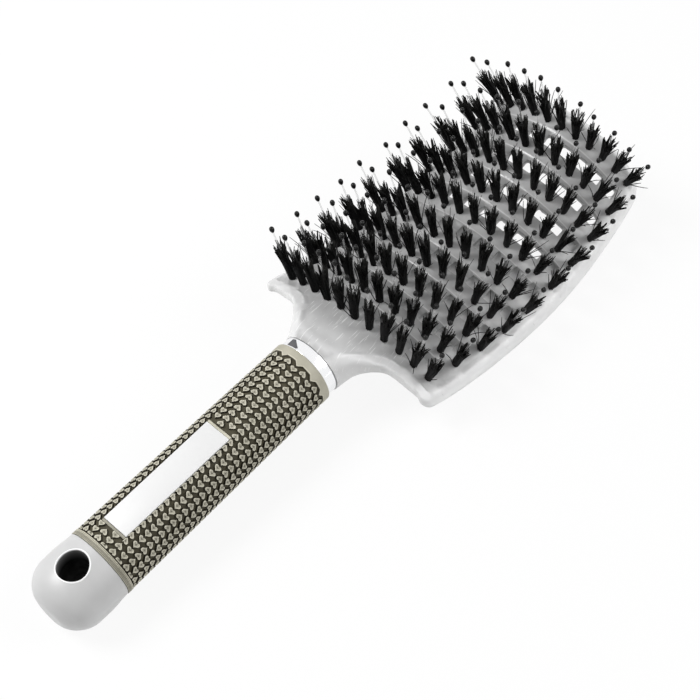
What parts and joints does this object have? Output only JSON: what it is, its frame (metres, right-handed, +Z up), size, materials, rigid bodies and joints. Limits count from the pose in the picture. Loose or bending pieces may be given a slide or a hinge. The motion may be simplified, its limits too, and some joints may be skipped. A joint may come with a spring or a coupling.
{
  "type": "vented paddle hair brush",
  "caption": "Curved vented detangling hair brush: lattice head with bristle tufts and ball-tipped pins, chromed ferrule, textured rubber grip and end cap with a hanging hole",
  "frame": {"origin": "under the middle of the bounding box, on the surface that the brush lies on", "axes": "the brush lies on its back: +X from the end cap to the tip, +Y across the head, +Z up on the bristle side; the handle's axis slopes 4.1 degrees down to the cap"},
  "size_m": [0.2472, 0.0842, 0.0511],
  "materials": {
    "pearl_plastic": "pearl white, satin gloss",
    "black_bristle": "black nylon and boar bristle, glossy ball tips",
    "bright_chrome": "mirror",
    "dark_plastic": "matte",
    "grip_rubber": "soft-touch, raised nubs over dark grooves",
    "label_white": "smooth, bare",
    "core_plastic": "as moulded"
  },
  "bodies": {
    "root": {"head_frame": "pearl_plastic", "tuft_rows_1": "black_bristle", "tuft_rows_2": "black_bristle", "tuft_rows_3": "black_bristle", "tuft_rows_4": "black_bristle", "ferrule_ring": "bright_chrome", "ferrule_key": "dark_plastic", "grip_sleeve": "grip_rubber", "label_plate": "label_white", "handle_core": "core_plastic", "end_cap": "pearl_plastic"}
  },
  "joints": []
}
